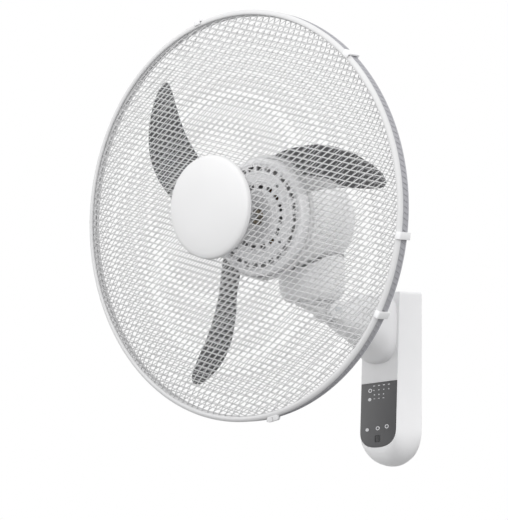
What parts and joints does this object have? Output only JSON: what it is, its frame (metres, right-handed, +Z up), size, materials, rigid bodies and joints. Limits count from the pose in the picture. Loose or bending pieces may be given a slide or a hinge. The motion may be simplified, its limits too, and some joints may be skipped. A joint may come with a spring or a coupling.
{
  "type": "wall mounted fan",
  "caption": "Wall mounted fan: flat control box, tapered arm, tilting neck, oscillating motor head and smoky impeller inside a domed mesh guard.",
  "frame": {"origin": "on the wall face of the hanging plate, at the middle of the control box's width and height", "axes": "+Y points into the wall and is the plate's outward normal, -Y is forward into the room, +Z is up, +X is to the right seen from the room"},
  "size_m": [0.4082, 0.3304, 0.4927],
  "materials": {
    "white_plastic": "moulded, semi-gloss white",
    "wire_paint": "white powder coat on steel wire",
    "smoky_plastic": "smoky grey, slightly see-through",
    "dark_panel": "dark grey, smooth",
    "black_plastic": "black, fine grain",
    "green_board": "green solder mask",
    "nylon": "natural off-white",
    "steel": "turned, bright",
    "zinc_steel": "zinc plated",
    "core_steel": "stacked laminations",
    "copper": "enamelled wire",
    "bronze": "sintered"
  },
  "bodies": {
    "base": {"arm_screw_1": "steel", "arm_screw_2": "steel", "arm_screw_3": "steel", "arm_screw_4": "steel", "control_board": "green_board", "control_panel": "dark_panel", "cord_gland": "nylon", "cover_screw_1": "steel", "cover_screw_2": "steel", "cover_screw_3": "steel", "cover_screw_4": "steel", "front_cover": "white_plastic", "rear_cover": "white_plastic", "run_capacitor": "black_plastic", "sensor_window": "black_plastic", "support_arm": "white_plastic", "terminal_block": "nylon", "tilt_bolt": "zinc_steel", "tilt_nut": "zinc_steel", "wall_plate": "zinc_steel"},
    "tilting_neck": {"neck": "white_plastic", "swing_gear": "nylon", "post_nut": "steel"},
    "head": {"bearing_bracket": "zinc_steel", "clamp_screw": "steel", "front_bearing": "bronze", "front_guard": "wire_paint", "guard_cap": "white_plastic", "guard_ring": "white_plastic", "guard_screw_1": "steel", "guard_screw_2": "steel", "guard_screw_3": "steel", "guard_screw_4": "steel", "motor_front_cover": "white_plastic", "motor_rear_shell": "white_plastic", "rear_bearing": "bronze", "rear_guard": "wire_paint", "ring_clip_1": "white_plastic", "ring_clip_2": "white_plastic", "ring_clip_3": "white_plastic", "ring_clip_4": "white_plastic", "stator_core": "core_steel", "swing_motor": "steel", "swivel_housing": "white_plastic", "winding_front": "copper", "winding_rear": "copper"},
    "swing_pinion": {"swing_pinion": "nylon"},
    "impeller": {"impeller": "smoky_plastic", "motor_shaft": "steel", "rotor": "core_steel", "spinner_nut": "smoky_plastic"}
  },
  "joints": [
    {"name": "tilt", "type": "hinge", "parent": "base", "child": "tilting_neck", "pos_m": [0, -0.09253, 0.077], "axis": [1, 0, 0], "range_deg": [-15, 12]},
    {"name": "oscillation", "type": "hinge", "parent": "tilting_neck", "child": "head", "pos_m": [0, -0.11413, 0.09897], "axis": [0, -0.0488, 0.9988], "range_deg": [-67, 15]},
    {"name": "pinion_spin", "type": "hinge", "parent": "head", "child": "swing_pinion", "pos_m": [0.00902, -0.13184, 0.0956], "axis": [0, -0.0488, 0.9988], "range_deg": [-101, 23]},
    {"name": "impeller_spin", "type": "hinge", "parent": "head", "child": "impeller", "pos_m": [0.05298, -0.22273, 0.17245], "axis": [0.4509, -0.8915, -0.0436], "continuous": true}
  ],
  "couplings": [
    {"joint": "pinion_spin", "follows": "oscillation", "ratio": 1.5}
  ]
}
